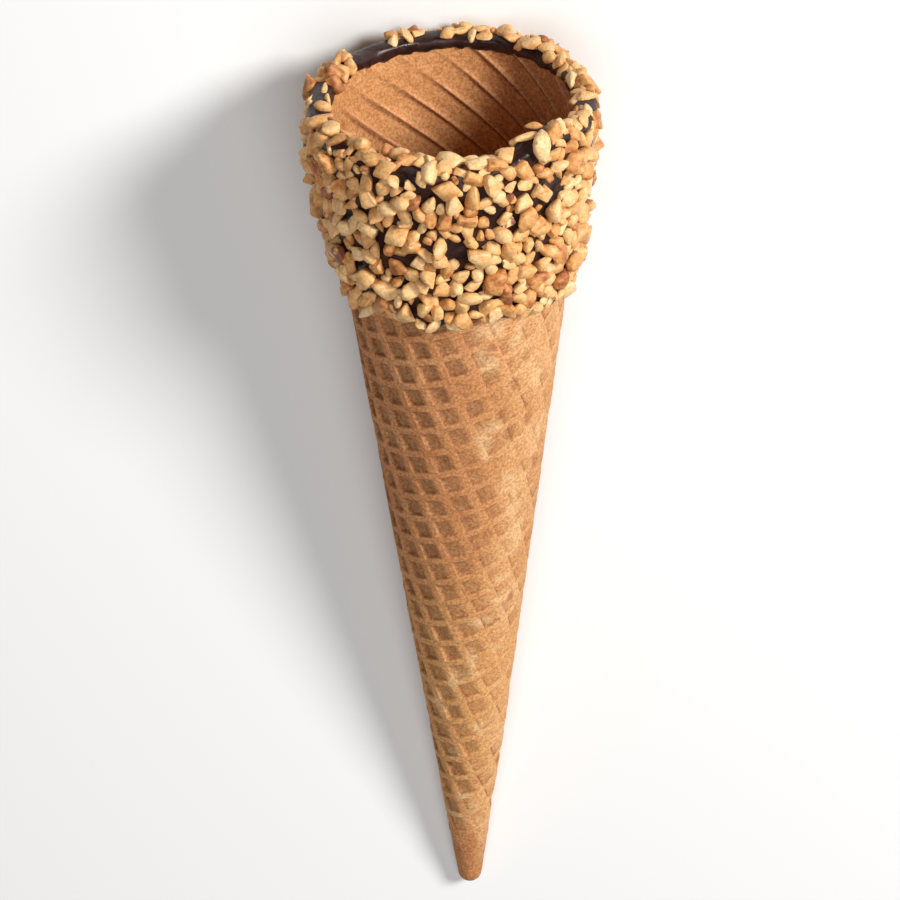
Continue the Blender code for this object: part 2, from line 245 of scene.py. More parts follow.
def add_grid(name, lattice, lines_i, lines_j, first_turn, low, high):
    """A flat grid in sheet places, with the place of each point in the lattice."""
    i0, j0, count_i, count_j = cells_needed(lattice, first_turn, low, high)
    bpy.ops.object.select_all(action="DESELECT")
    bpy.ops.mesh.primitive_grid_add(
        x_subdivisions=count_i * len(lines_i), y_subdivisions=count_j * len(lines_j), size=1.0)
    sheet = bpy.context.object
    sheet.name = name
    sheet.data.name = name
    spots = points_of(sheet)
    steps_i = np.rint((spots[:, 0] + 0.5) * count_i * len(lines_i)).astype(int)
    steps_j = np.rint((spots[:, 1] + 0.5) * count_j * len(lines_j)).astype(int)
    i = i0 + steps_i // len(lines_i) + lines_i[steps_i % len(lines_i)]
    j = j0 + steps_j // len(lines_j) + lines_j[steps_j % len(lines_j)]
    spots[:, 0], spots[:, 1] = from_lattice(i, j, *lattice)
    set_points(sheet, spots)
    return sheet


CLOSE = 0.000001


def cut_away(piece, point, direction):
    """Cuts through the piece and throws away the side that direction points to."""
    work_on(piece)
    bpy.ops.object.mode_set(mode="EDIT")
    bpy.ops.mesh.select_all(action="SELECT")
    bpy.ops.mesh.bisect(plane_co=point, plane_no=direction, clear_outer=True, threshold=CLOSE)
    bpy.ops.object.mode_set(mode="OBJECT")


def cut_fan(sheet, first_turn):
    for turn, side in ((first_turn, -1.0), (first_turn + FULL_TURN, 1.0)):
        angle = turn * math.sin(HALF_ANGLE)
        cut_away(sheet, (0, 0, 0), (-side * math.sin(angle), side * math.cos(angle), 0))


def cone_places(x, y):
    """Where a flat place ends up: the distance along the axis and the turn."""
    along = np.hypot(x, y) * math.cos(HALF_ANGLE)
    return along, np.arctan2(y, x) / math.sin(HALF_ANGLE)


def stand_points(along, turn, radius):
    return np.stack((radius * np.sin(turn), -radius * np.cos(turn), along), axis=1)


def unevenness(spots, size, seed):
    """Soft bumps between about -1 and 1, each about that size across."""
    shift = Vector((seed * 7.3, seed * 3.1, seed * 5.7))
    return np.array([noise.noise(Vector(spot) / size + shift) for spot in spots])


# %% [markdown]
# Cells sink deepest on the left of the shown side. On the right they are shallow, and near
# the tip they fade out, because there the sheet was pulled tight while it was rolled. No two
# cells are quite alike, so each gets its own depth from a seeded draw. Towards the right the
# draw is wider and the floors lean, so of many cells only one dark edge is left. At its
# right and upper foot, where the walls turn from the light, a cell gets a thin dark line of
# painted shade with some toasting, which is stored for the finish.
# The outer edge of the sheet laps over the turn below and stands a little proud.

# %% The outside of the sheet
CELL_DEPTH = 0.00086
CELLS_FADE_FROM = 0.0210
CELLS_FADE_OVER = 0.0220
SHALLOW_SHARE = 0.72
SHALLOW_DEGREES = (2.0, 36.0, 82.0, 112.0)
LOOSE_DEGREES = (-30.0, 8.0)
SEAM_RAMP = math.radians(70.0)
SEAM_LIP = 0.0006
SEAM_FROM = 0.0300
SEAM_TO = 0.1480
SHEET_LOW = 0.0235
SHEET_HIGH = 0.1812
PATTERN_TO = 0.1530
OUTER_LATTICE = (PATTERN_START, PATTERN_TURN, PITCH)


def well_share(i, j):
    """0 on a ridge and 1 on a cell's floor."""
    sides = (np.mod(i, 1.0), 1.0 - np.mod(i, 1.0), np.mod(j, 1.0), 1.0 - np.mod(j, 1.0))
    feet = (RIDGE_FOOT, RIDGE_FOOT, RIDGE_FOOT, SLOPE_FOOT)
    share = 1.0
    for side, foot in zip(sides, feet):
        share = share * smooth((side - RIDGE_TOP) / (foot - RIDGE_TOP))
    return share


LINE_AT = 0.172
LINE_WIDTH = 0.042


def baked_and_shaded_line(i, j, seed):
    """Painted shade, with some toasting: the dark line at a cell's right and upper foot."""
    table = np.random.RandomState(seed).uniform(0.35, 1.0, (83, 79))
    own = table[np.floor(i).astype(int) % 83, np.floor(j).astype(int) % 79]
    lines = []
    for side, other, share in ((j, i, 1.0), (i, j, 0.75)):
        foot = np.exp(-((np.mod(side, 1.0) - LINE_AT) / LINE_WIDTH) ** 2)
        reach = np.minimum(np.mod(other, 1.0), 1.0 - np.mod(other, 1.0))
        lines.append(share * foot * smooth((reach - 0.10) / 0.07))
    return own * np.maximum(*lines)


def shallow_share(along, turn):
    """How far the pattern is pressed flat: on the right, and most of all near the mouth."""
    start, full, ease, end = (math.radians(d) for d in SHALLOW_DEGREES)
    share = smooth((turn - start) / (full - start)) * smooth((end - turn) / (end - ease))
    return share * (0.45 + 0.55 * smooth((along - 0.075) / 0.040))


def seam_lift(along, turn):
    tip_end = smooth((along - SEAM_FROM) / 0.020)
    rim_end = smooth((SEAM_TO - along) / 0.008)
    return SEAM_LIP * tip_end * rim_end * smooth((turn - SEAM_TURN + SEAM_RAMP) / SEAM_RAMP)


def own_depths(i, j, turn, seed):
    """Each cell's own share of the depth: even on the left, uneven and leaning on the right."""
    table = np.random.RandomState(seed).uniform(0.0, 1.0, (97, 89))
    own = table[np.floor(i).astype(int) % 97, np.floor(j).astype(int) % 89]
    start, full = (math.radians(d) for d in LOOSE_DEGREES)
    loose = smooth((turn - start) / (full - start)) * smooth((2.4 - turn) / 0.8)
    even = 0.68 + 0.48 * own
    uneven = 0.26 + 0.95 * own
    leaning = 1.0 - (0.25 + 0.55 * loose) * np.mod(j, 1.0) - 0.15 * np.mod(i, 1.0)
    return (even + (uneven - even) * loose) * leaning


def keep_values(piece, name, values):
    """Stores a value for each point, for the materials to read."""
    kept = piece.data.attributes.new(name, "FLOAT", "POINT")
    kept.data.foreach_set("value", np.asarray(values, np.float32))


def make_outer_sheet():
    sheet = add_grid("rolled_wafer", OUTER_LATTICE, LINES, LEANING_LINES,
                     SEAM_TURN - FULL_TURN, SHEET_LOW, SHEET_HIGH)
    cut_fan(sheet, SEAM_TURN - FULL_TURN)
    x, y = points_of(sheet)[:, :2].T
    along, turn = cone_places(x, y)
    i, j = to_lattice(x, y, *OUTER_LATTICE)
    well = well_share(i, j)
    depth = CELL_DEPTH * smooth((along - CELLS_FADE_FROM) / CELLS_FADE_OVER)
    depth = depth * smooth((PATTERN_TO - along) / 0.0015)
    depth = depth * (1.0 - SHALLOW_SHARE * shallow_share(along, turn))
    depth = depth * own_depths(i, j, turn, 3)
    radius = wafer_radius(along) + seam_lift(along, turn) - depth * well
    set_points(sheet, stand_points(along, turn, radius))
    relative_depth = np.clip(depth / CELL_DEPTH, 0.0, 1.0)
    # Painted shade with some toasting: the dark line where the cell walls turn from the light.
    keep_values(sheet, "shade_and_toast_line", baked_and_shaded_line(i, j, 6) * smooth(relative_depth / 0.25))
    # The well share also paints shade into the cell floors, less in the lower part.
    keep_values(sheet, "well", well * relative_depth * (1.0 - 0.5 * smooth((0.110 - along) / 0.040)))
    keep_values(sheet, "turn", turn)
    return sheet


wafer = make_outer_sheet()
print("outer sheet:", len(wafer.data.polygons), "faces")

# %% [markdown]
# The rolled sheet still runs past the rim and the tip, so both ends are cut level. The two
# edges of the fan now lie one over the other at the lap. Their points don't match, which
# Blender's Bridge doesn't like, so a zipper closes them: it climbs both edges at once and
# always steps on the side that is behind. The same zipper closes the rim later.

# %% Trim the roll and close the lap


def open_points(bm):
    return {v for edge in bm.edges if len(edge.link_faces) == 1 for v in edge.verts}


def zip_up(bm, first, second):
    """Joins two chains of (order, point) with triangles."""
    a, b = 0, 0
    while a < len(first) - 1 or b < len(second) - 1:
        step_first = b == len(second) - 1 or (
            a < len(first) - 1 and first[a + 1][0] <= second[b + 1][0])
        ahead = first[a + 1] if step_first else second[b + 1]
        corners = {first[a][1], second[b][1], ahead[1]}
        if len(corners) == 3:
            bm.faces.new((first[a][1], second[b][1], ahead[1]))
        a, b = (a + 1, b) if step_first else (a, b + 1)


def close_lap(sheet, first_turn):
    bm = bmesh.new()
    bm.from_mesh(sheet.data)
    unrolled = bm.verts.layers.float["turn"]
    edges = open_points(bm)
    chains = []
    for turn in (first_turn, first_turn + FULL_TURN):
        chain = [v for v in edges
                 if abs(v[unrolled] - turn) * wafer_radius(v.co.z) < 4.0 * CLOSE]
        chains.append([(v.co.z, v) for v in sorted(chain, key=lambda v: v.co.z)])
    zip_up(bm, *chains)
    bm.to_mesh(sheet.data)
    bm.free()
    return [len(chain) for chain in chains]


cut_away(wafer, (0.0, 0.0, PATTERN_TO), (0.0, 0.0, 1.0))
cut_away(wafer, (0.0, 0.0, SHEET_LOW), (0.0, 0.0, -1.0))
print("lap closed, points on its edges:", close_lap(wafer, SEAM_TURN - FULL_TURN))

# %% [markdown]
# The inside of the sheet met the other iron, with long raised ribs that run slantwise round
# the wall and only faint cross marks. It is a second sheet on its own lattice, whose ribs
# stand up towards the axis. Its lap is on the side that the camera can't see.
# At the rim it is cut with a plane that leans a little, because a hand-rolled cone is seldom
# quite level.

# %% The inside of the sheet
RIB_PITCH = 0.0044
RIB_TURN = math.radians(54.0)
RIB_OFFSET = -0.1400
RIB_HEIGHT = 0.00062
CROSS_HEIGHT = 0.00012
RIB_LINES = np.array([0.0, 0.045, 0.09, 0.145, 0.20, 0.28, 0.50, 0.72, 0.855, 0.91, 0.955])
CROSS_LINES = np.array([0.0, 0.12, 0.37, 0.63, 0.88])
INNER_LOW = 0.0300
BACK_SPREAD = math.pi * math.sin(HALF_ANGLE)


def inner_lattice():
    """The ribs are measured on the back wall, half a turn round from the sheet's middle."""
    lattice_turn = RIB_TURN + BACK_SPREAD
    across = Vector((-math.sin(lattice_turn), math.cos(lattice_turn)))
    return tuple(across * RIB_OFFSET), lattice_turn, RIB_PITCH


def rib_share(j):
    aside = np.minimum(np.mod(j, 1.0), 1.0 - np.mod(j, 1.0))
    return 1.0 - smooth(aside / 0.145)


def rib_fade(along, turn):
    """Only on the right of the back wall do the ribs reach the rim. Elsewhere they fade."""
    right = smooth((math.pi + 0.1 - turn) / 0.5) * smooth((turn - 1.6) / 0.4)
    return 1.0 - 0.8 * smooth((along - RIM_AT + 0.009) / 0.006) * (1.0 - right)


def make_inner_sheet():
    lattice = inner_lattice()
    sheet = add_grid("inside", lattice, CROSS_LINES, RIB_LINES, 0.0, INNER_LOW, SHEET_HIGH)
    cut_fan(sheet, 0.0)
    x, y = points_of(sheet)[:, :2].T
    along, turn = cone_places(x, y)
    i, j = to_lattice(x, y, *lattice)
    fade = rib_fade(along, turn)
    rise = RIB_HEIGHT * rib_share(j) * fade
    cross = CROSS_HEIGHT * rib_share(i) * smooth((along - 0.060) / 0.060)
    lap = 0.0003 * smooth((turn - FULL_TURN + SEAM_RAMP) / SEAM_RAMP)
    radius = wafer_radius(along) - WALL - np.maximum(rise, cross) - lap
    set_points(sheet, stand_points(along, turn, radius))
    # Painted highlight: the rib crests are stored as a negative well share for the finish.
    keep_values(sheet, "well", -rib_share(j) * fade)
    # Painted shade: a dark line at the foot of each rib, on the flank turned from the light.
    keep_values(sheet, "shade_and_toast_line", np.exp(-((np.mod(j, 1.0) - 0.16) / 0.06) ** 2) * fade)
    keep_values(sheet, "turn", turn)
    return sheet


inside = make_inner_sheet()
cut_away(inside, (0.0, 0.0, RIM_AT - 0.0005), (0.0, -RIM_SLANT / RIM_RADIUS, 1.0))
cut_away(inside, (0.0, 0.0, INNER_LOW), (0.0, 0.0, -1.0))
print("inner lap closed, points on its edges:", close_lap(inside, 0.0))

# %% [markdown]
# Inside and outside are joined into one wall. Under the chocolate the outside is plain, so
# its upper edge is simply drawn up to the rim: extrude, move up, widen. The zipper closes
# the rim. The tip and the end of the hollow are drawn down in the same way, and their last
# rings are merged into a pole.

# %% Close the rim, the hollow and the tip
HOLLOW_FROM = 0.0270


def select_open(piece, low, high):
    """Selects the open edges that lie between two places along the axis."""
    work_on(piece)
    bpy.ops.object.mode_set(mode="EDIT")
    bpy.ops.mesh.select_mode(type="EDGE")
    bpy.ops.mesh.select_all(action="DESELECT")
    bm = bmesh.from_edit_mesh(piece.data)
    for edge in bm.edges:
        level = all(low < v.co.z < high for v in edge.verts)
        edge.select_set(level and len(edge.link_faces) == 1)
    bmesh.update_edit_mesh(piece.data)


def draw_ring(piece, at, profile, pole=None):
    """Draws the open ring at a place out through (along, radius) steps, to a pole if asked."""
    select_open(piece, at[0] - 0.0001, at[0] + 0.0001)
    along, radius = at
    for next_along, next_radius in profile:
        bpy.ops.mesh.extrude_region_move(
            TRANSFORM_OT_translate={"value": (0.0, 0.0, next_along - along)})
        factor = next_radius / radius
        bpy.ops.transform.resize(value=(factor, factor, 1.0), center_override=(0.0, 0.0, 0.0))
        along, radius = next_along, next_radius
    if pole is not None:
        bpy.ops.mesh.extrude_region_move(
            TRANSFORM_OT_translate={"value": (0.0, 0.0, pole - along)})
        bpy.ops.mesh.merge(type="CENTER")
    bpy.ops.object.mode_set(mode="OBJECT")


def merge_and_face_out(distance):
    """Merges points that fall together and turns all faces outwards."""
    bpy.ops.mesh.select_all(action="SELECT")
    bpy.ops.mesh.remove_doubles(threshold=distance)
    bpy.ops.mesh.normals_make_consistent(inside=False)
    bpy.ops.object.mode_set(mode="OBJECT")


def join_pieces(first, others):
    work_on(first)
    for other in others:
        other.select_set(True)
    bpy.ops.object.join()


def tip_profile():
    profile = [(along, wafer_radius(along)) for along in (0.0222, 0.0208, 0.0196)]
    for degrees in (6.0, 20.0, 34.0, 48.0, 62.0, 75.0):
        angle = math.radians(degrees)
        profile.append((TIP_BALL_AT - TIP_BALL * math.sin(angle), TIP_BALL * math.cos(angle)))
    return profile


def lean_rim(piece):
    """The drawn-up edge follows the same leaning rim as the inside."""
    spots = points_of(piece)
    high = smooth((spots[:, 2] - PATTERN_TO) / (RIM_AT - PATTERN_TO))
    spots[:, 2] -= high * RIM_SLANT * np.cos(np.arctan2(spots[:, 0], -spots[:, 1]))
    set_points(piece, spots)


def close_rim(piece):
    bm = bmesh.new()
    bm.from_mesh(piece.data)
    unrolled = bm.verts.layers.float["turn"]
    rims = ([], [])
    for v in open_points(bm):
        if v.co.z > RIM_AT - 0.004:
            start = FULL_TURN if v[unrolled] > SEAM_TURN + 0.001 else 0.0
            turn = round(v[unrolled] - start, 5)
            outer = v.co.xy.length > wafer_radius(v.co.z) - WALL / 2
            rims[0 if outer else 1].append((turn, -v[unrolled], v))
    chains = []
    for rim in rims:
        chain = [(turn, v) for turn, _, v in sorted(rim, key=lambda item: item[:2])]
        chains.append(chain + [(chain[0][0] + FULL_TURN, chain[0][1])])
    zip_up(bm, *chains)
    bm.to_mesh(piece.data)
    bm.free()
    return [len(chain) for chain in chains]


draw_ring(wafer, (PATTERN_TO, wafer_radius(PATTERN_TO)),
          [(along, wafer_radius(along)) for along in (0.160, 0.170, RIM_AT - 0.0005)])
lean_rim(wafer)
join_pieces(wafer, [inside])
print("rim closed, points on its edges:", close_rim(wafer))
draw_ring(wafer, (SHEET_LOW, wafer_radius(SHEET_LOW)), tip_profile(), TIP_BALL_AT - TIP_BALL)
inner_end = wafer_radius(INNER_LOW) - WALL
draw_ring(wafer, (INNER_LOW, inner_end), [(0.0285, inner_end * 0.7)], HOLLOW_FROM)
work_on(wafer)
bpy.ops.object.mode_set(mode="EDIT")
merge_and_face_out(0.000005)
print("whole wafer:", len(wafer.data.polygons), "faces")

# %% [markdown]
# Baked batter is never even. Small seeded bumps move the whole wall by less than a tenth of
# a millimetre, larger ones bend it a little more. The finer sandy grain is left to the
# material, where it costs no faces.
# Where the outer corner of the rolled sheet ends, it stands up above the rim. The same lift
# is used again for the chocolate and the nuts on it, so that they stay together.

# %% Unevenness of the baked wall and its raised corner
CORNER_RISE = 0.0034
CORNER_TURN = math.radians(40.0)
CORNER_WIDTH = math.radians(15.0)
CORNER_DEPTH = 0.012


def turn_of(spots):
    return np.arctan2(spots[:, 0], -spots[:, 1])


def lift_corner(spots):
    share = np.exp(-((turn_of(spots) - CORNER_TURN) / CORNER_WIDTH) ** 2)
    lifted = spots.copy()
    lifted[:, 2] += CORNER_RISE * share * smooth(1.0 + (spots[:, 2] - RIM_AT) / CORNER_DEPTH)
    return lifted


def outwards(spots):
    out = np.stack((spots[:, 0], spots[:, 1], np.zeros(len(spots))), axis=1)
    return out / np.maximum(np.linalg.norm(out, axis=1), 1e-6)[:, None]


def roughen_wafer(piece):
    spots = lift_corner(points_of(piece))
    bumps = 0.00007 * unevenness(spots, 0.0011, 1) + 0.00012 * unevenness(spots, 0.009, 2)
    set_points(piece, spots + outwards(spots) * bumps[:, None])


roughen_wafer(wafer)
work_on(wafer)
bpy.ops.object.shade_smooth()
print("roughened", len(wafer.data.vertices), "points")

# %% [markdown]
# Some patches of the shown side were hardly touched by the iron and stay cream, a few small
# spots are toasted, and the tip is darker all round. Each patch is marked by its distance
# from the apex in millimetres, its turn in degrees and its half length and half width. A
# stored share for each point carries them to the material, with seeded ragged edges.
# The ridges on the right are pale in clouds, and the lower half is lighter than the rest.
# The right side is lighter too, partly paler bake and partly painted light. Inside, painted
# light brightens the left and painted shade darkens the right.

# %% Pale and toasted patches, painted light and painted shade
PALE_PATCHES = (
    (147.5, 17.0, 3.0, 2.6), (144.4, 36.0, 3.0, 2.2), (140.5, 15.0, 3.4, 2.2),
    (127.0, 19.0, 1.8, 3.0), (123.3, 14.5, 2.6, 1.7), (120.0, 62.0, 4.0, 1.6),
    (114.2, 33.0, 3.2, 2.0), (108.2, 43.0, 3.8, 2.2), (101.0, 48.0, 4.4, 2.0),
    (92.5, 39.0, 1.6, 3.0), (87.9, 34.0, 1.4, 3.0), (83.8, 16.0, 1.5, 2.4),
    (75.2, 7.0, 4.0, 0.9), (71.4, -3.0, 0.9, 3.0), (69.8, -15.0, 1.5, 1.5),
    (63.1, -37.0, 3.4, 1.5), (51.2, -24.0, 1.6, 1.4), (40.4, -5.0, 1.4, 2.0),
    (37.5, 6.0, 1.8, 1.3), (35.2, -41.0, 1.0, 2.2), (32.8, 24.0, 1.4, 1.6),
    (75.8, 36.0, 1.0, 0.9), (58.0, 20.0, 2.0, 1.2), (134.0, 52.0, 2.6, 1.6),
    (95.0, -150.0, 6.0, 2.6), (132.0, 165.0, 3.6, 4.6), (60.0, 150.0, 3.0, 2.4),
)
TOASTED_SPOTS = (
    (143.7, 18.5, 1.2, 1.0), (140.0, 40.0, 1.4, 1.0), (135.0, 33.0, 1.6, 1.2),
    (129.0, 26.0, 1.8, 1.2), (124.6, 32.5, 1.8, 1.4), (126.4, 47.5, 1.6, 1.2),
    (115.0, 62.5, 1.8, 1.4), (104.0, 20.0, 1.4, 1.0), (87.0, 50.0, 1.4, 1.0),
)
TOASTED_TIP = 0.0300
MILLIMETRE = 0.001


def kept_values(piece, name):
    values = np.empty(len(piece.data.vertices), np.float32)
    piece.data.attributes[name].data.foreach_get("value", values)
    return values


def patch_share(spots, patches, ragged):
    """1 inside the marked patches and 0 away from them."""
    turn = turn_of(spots)
    nearest = np.full(len(spots), 3.0)
    for along, degrees, long, wide in patches:
        aside = (turn - math.radians(degrees)) * wafer_radius(along)
        reach = (spots[:, 2] / MILLIMETRE - along) / long
        nearest = np.minimum(nearest, np.hypot(reach, aside / wide))
    return smooth((1.25 - nearest + ragged * unevenness(spots, 0.0022, 8)) / 0.9)


def mark_patches(piece):
    spots = points_of(piece)
    turn = turn_of(spots)
    outer = np.hypot(spots[:, 0], spots[:, 1]) > wafer_radius(spots[:, 2]) - 0.6 * WALL
    ridges = 1.0 - np.clip(kept_values(piece, "well") * 4.0, 0.0, 1.0)
    right = smooth((turn - 0.25) / 0.5) * smooth((1.7 - turn) / 0.5)
    clouds = smooth(0.6 + unevenness(spots, 0.008, 12))
    pale = np.maximum(patch_share(spots, PALE_PATCHES, 0.8), 0.6 * ridges * right * clouds)
    keep_values(piece, "pale", pale * outer)
    tip = smooth((TOASTED_TIP - spots[:, 2]) / 0.008 + 0.3 * unevenness(spots, 0.003, 9))
    toast_and_shade = np.maximum(patch_share(spots, TOASTED_SPOTS, 0.3), 0.55 * tip) * outer
    # Painted shade on the inside's right, away from the light, goes with the toasted spots.
    shaded_inside_right = smooth((turn - 0.6) / 0.8) * smooth((3.0 - turn) / 0.5)
    keep_values(piece, "toast_and_shade", np.maximum(toast_and_shade, 0.65 * shaded_inside_right * (1.0 - outer)))
    # Lighter lower half; right side partly paler bake, partly painted light; painted light inside.
    low_part = smooth((0.110 - spots[:, 2]) / 0.040) * smooth((spots[:, 2] - 0.024) / 0.018)
    paler_and_painted_light = np.maximum(0.62 * smooth((turn + 0.1) / 0.9), low_part)
    keep_values(piece, "paler_and_painted_light", np.where(outer, paler_and_painted_light, 0.4 * (1.0 - shaded_inside_right)))


mark_patches(wafer)
print(len(PALE_PATCHES), "pale patches and", len(TOASTED_SPOTS), "toasted spots")

# %% [markdown]
# ## The chocolate
# The rim was dipped, so a thin coat wraps the outside, runs over the rim and ends just
# inside. Its outline is drawn once as a chain of points and spun round the axis. The lower
# edge is then moved to a wavy line, as chocolate stops when it is dipped by hand, and the
# inner edge to a ragged one, because it crept into the crumbs of the wafer.

# %% The chocolate coat
GAP = 0.0003
COAT = 0.0009
COAT_FROM = 0.1492
COAT_WAVE = 0.0002
EDGE_MARKS = ((-180, 0.0), (-100, 2.4), (-86, 1.6), (-74, -0.9), (-55, 0.2), (-33, 0.8),
              (-13, -0.2), (6, 1.0), (24, 0.8), (52, -0.8), (70, -1.0), (115, 0.5), (180, 0.0))
CREST_HEIGHT = 0.0010
INSIDE_COAT = 0.0006
INSIDE_REACH = 0.0010
COAT_SEGMENTS = 240
COAT_ROWS = 34


def coat_edge(turn):
    """Where the chocolate ends: a height marked at some turns, with a small wave on it."""
    degrees, rises = zip(*EDGE_MARKS)
    wave = np.sin(9.0 * turn + 0.6) + 0.6 * np.sin(17.0 * turn + 2.0)
    return COAT_FROM + MILLIMETRE * np.interp(np.degrees(turn), degrees, rises) + COAT_WAVE * wave


def coat_outline():
    """Along and radius of the coat's cut, from its buried lower edge up and over the rim."""
    inner = RIM_RADIUS - WALL
    rows = [COAT_FROM + (RIM_AT - COAT_FROM) * k / COAT_ROWS for k in range(COAT_ROWS)]
    outside = [(along, wafer_radius(along) + GAP + COAT) for along in rows]
    outside[0] = (COAT_FROM, wafer_radius(COAT_FROM) + GAP + 0.3 * COAT)
    over = []
    middle = RIM_RADIUS - WALL / 2
    wide, narrow = WALL / 2 + GAP + 0.8 * COAT, WALL / 2 + INSIDE_COAT
    for k in range(11):
        angle = math.radians(5.0 + 17.0 * k)
        half = wide + (narrow - wide) * float(smooth(k / 10.0))
        over.append((RIM_AT + CREST_HEIGHT * math.sin(angle), middle + half * math.cos(angle)))
    down = [(RIM_AT - INSIDE_REACH, inner - 0.0005), (RIM_AT - INSIDE_REACH - 0.0004, inner)]
    buried = [(RIM_AT - INSIDE_REACH - 0.0004, inner + 0.0009),
              (COAT_FROM - 0.0002, wafer_radius(COAT_FROM) - 0.0009)]
    return outside + over + down + buried


def make_coat():
    bpy.ops.object.select_all(action="DESELECT")
    bpy.ops.mesh.primitive_circle_add(vertices=len(coat_outline()), radius=1.0)
    coat = bpy.context.object
    coat.name = "chocolate_coat"
    coat.data.name = "chocolate_coat"
    set_points(coat, [(0.0, -radius, along) for along, radius in coat_outline()])
    bpy.ops.object.mode_set(mode="EDIT")
    bpy.ops.mesh.select_all(action="SELECT")
    bpy.ops.mesh.spin(steps=COAT_SEGMENTS, angle=FULL_TURN, center=(0, 0, 0), axis=(0, 0, 1))
    merge_and_face_out(0.00001)
    return coat


def shape_coat(coat):
    spots = points_of(coat)
    turn = turn_of(spots)
    radius = np.hypot(spots[:, 0], spots[:, 1])
    near_rim = smooth((spots[:, 2] - COAT_FROM) / (RIM_AT - COAT_FROM))
    inner_edge = radius < RIM_RADIUS - WALL + 0.0001
    inner_edge &= spots[:, 2] < RIM_AT - 0.5 * INSIDE_REACH
    ragged = 0.0006 * unevenness(spots, 0.0022, 4) + 0.0004 * unevenness(spots, 0.0009, 7)
    spots[:, 2] += ragged * inner_edge
    spots[:, 2] += (1.0 - near_rim) * (coat_edge(turn) - COAT_FROM)
    spots[:, 2] -= near_rim * RIM_SLANT * np.cos(turn)
    spots = lift_corner(spots)
    bumps = 0.00028 * unevenness(spots, 0.0030, 5) + 0.00014 * unevenness(spots, 0.0013, 6)
    bumps -= 0.00010 * inner_edge
    crest = smooth((spots[:, 2] - RIM_AT) / CREST_HEIGHT)
    spots[:, 2] += crest * 0.00035 * unevenness(spots, 0.0035, 10)
    set_points(coat, spots + outwards(spots) * bumps[:, None])


coat = make_coat()
shape_coat(coat)
work_on(coat)
bpy.ops.object.shade_smooth()
print("chocolate coat:", len(coat.data.polygons), "faces")

# %% [markdown]
# ## The chopped nuts
# Roasted nuts break under the knife into blocks and wedges with a few flat cuts and softly
# rubbed edges. So each pattern piece starts as a block and is cut by a few seeded planes.
# Every other one only gets its edges bevelled and stays angular. The rest are subdivided
# once, which rounds them like rubbed lumps. Twenty-one bits are enough, because each copy is
# turned and stretched in its own way. A half kernel is made as well.

# %% Twenty-one bits of nut
BIT_KINDS = 21


def random_direction(draw):
    height = draw.uniform(-1.0, 1.0)
    turn = draw.uniform(0.0, FULL_TURN)
    wide = math.sqrt(1.0 - height * height)
    return Vector((wide * math.cos(turn), wide * math.sin(turn), height))


def round_off(bit, draw):
    """Knocks the corners about a little and subdivides once."""
    spots = points_of(bit)
    spots += np.array([random_direction(draw) for _ in spots]) * 0.055
    set_points(bit, spots)
    softer = bit.modifiers.new("softer", "SUBSURF")
    softer.levels = softer.render_levels = 1
    bpy.ops.object.modifier_apply(modifier="softer")


def chop_bit(number, draw):
    bpy.ops.object.select_all(action="DESELECT")
    bpy.ops.mesh.primitive_cube_add(size=1.0)
    bit = bpy.context.object
    bit.name = f"bit_{number}"
    bpy.ops.object.mode_set(mode="EDIT")
    for _ in range(draw.choice((3, 4, 4, 5))):
        direction = random_direction(draw)
        bpy.ops.mesh.select_all(action="SELECT")
        bpy.ops.mesh.bisect(plane_co=direction * draw.uniform(0.24, 0.44), plane_no=direction,
                            clear_outer=True, use_fill=True)
    bpy.ops.mesh.select_all(action="SELECT")
    bpy.ops.mesh.remove_doubles(threshold=0.10)
    bpy.ops.mesh.dissolve_limited(angle_limit=math.radians(8.0))
    if number % 2 > 0:
        bpy.ops.mesh.select_all(action="SELECT")
        bpy.ops.mesh.bevel(offset=0.08, segments=1, affect="EDGES")
        bpy.ops.mesh.select_all(action="SELECT")
        bpy.ops.mesh.remove_doubles(threshold=0.02)
    bpy.ops.mesh.select_all(action="SELECT")
    bpy.ops.mesh.normals_make_consistent(inside=False)
    bpy.ops.object.mode_set(mode="OBJECT")
    if number % 2 == 0:
        round_off(bit, draw)
    bpy.ops.object.shade_smooth_by_angle(angle=math.radians(50.0))
    spots = points_of(bit)
    low, high = spots.min(axis=0), spots.max(axis=0)
    set_points(bit, (spots - (low + high) / 2) / (high - low))
    return bit


def whole_kernel():
    """Half a kernel that the knife has missed: an egg, flat below."""
    bpy.ops.object.select_all(action="DESELECT")
    bpy.ops.mesh.primitive_ico_sphere_add(subdivisions=2, radius=0.5)
    kernel = bpy.context.object
    kernel.name = "kernel"
    spots = points_of(kernel)
    spots[:, 1] *= 1.0 - 0.45 * spots[:, 0]
    spots[:, 2] = np.maximum(spots[:, 2], -0.3)
    set_points(kernel, spots)
    bpy.ops.object.shade_smooth()
    return kernel


chopping = random.Random(21)
bits = [chop_bit(number, chopping) for number in range(BIT_KINDS)] + [whole_kernel()]
print("faces of the bits:", [len(bit.data.polygons) for bit in bits])

# %% [markdown]
# Where the nuts go follows one seeded rule: the largest first, each clear of those already
# there, up the outside and over the rim. The first 220 are the ones that the solid model
# has, in the same places.

# %% Where the large nuts go
NUT_COUNT = 220
NUT_SEED = 11
NUT_LONGEST = 0.0050
NUT_SHORTEST = 0.0030
NUT_SPACING = 0.72
NUT_SUNK = 0.0005
RIM_BEND = 0.0036
RESTING_NUTS = (
    (0.0246, 171.5, 0.0048, 0.0040),
    (0.0246, 188.5, 0.0048, 0.0040),
)
STANDOUT_NUTS = (
    (0.0275, 45.0, 0.0052, 0.0034),
    (0.0300, -38.0, 0.0042, 0.0034),
    (0.0305, 13.0, 0.0038, 0.0028),
)


def place(along, turn, radius):
    return Vector((radius * math.sin(turn), -radius * math.cos(turn), along))


